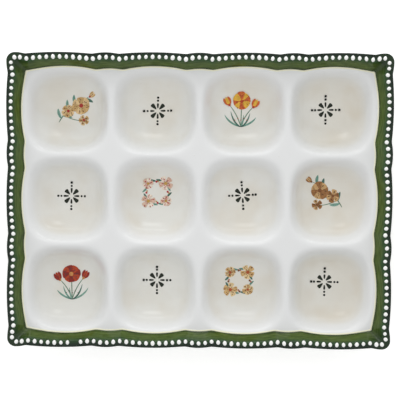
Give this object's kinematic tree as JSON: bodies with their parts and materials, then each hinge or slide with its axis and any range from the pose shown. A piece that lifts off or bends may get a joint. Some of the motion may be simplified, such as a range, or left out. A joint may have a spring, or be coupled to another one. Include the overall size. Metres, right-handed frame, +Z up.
{
  "type": "deviled egg platter",
  "caption": "Rectangular glazed stoneware egg platter: a grid of rounded-square wells inside a flared, scalloped rim with a row of raised slip beads.",
  "frame": {"origin": "on the table, below the middle of the tray", "axes": "+X along the long side, +Y along the short side towards the back row of wells, +Z up"},
  "size_m": [0.305, 0.234, 0.0336],
  "materials": {
    "white_glaze": "gloss",
    "rim_green_glaze": "gloss",
    "ivory_glaze_line": "gloss",
    "white_slip_bead": "gloss",
    "bare_clay": "matte"
  },
  "bodies": {
    "root": {"stoneware_body": "white_glaze", "rim_glaze": "rim_green_glaze", "glaze_line": "ivory_glaze_line", "beads_back": "white_slip_bead", "beads_right": "white_slip_bead", "beads_front": "white_slip_bead", "beads_left": "white_slip_bead", "foot_pads": "bare_clay"}
  },
  "joints": []
}
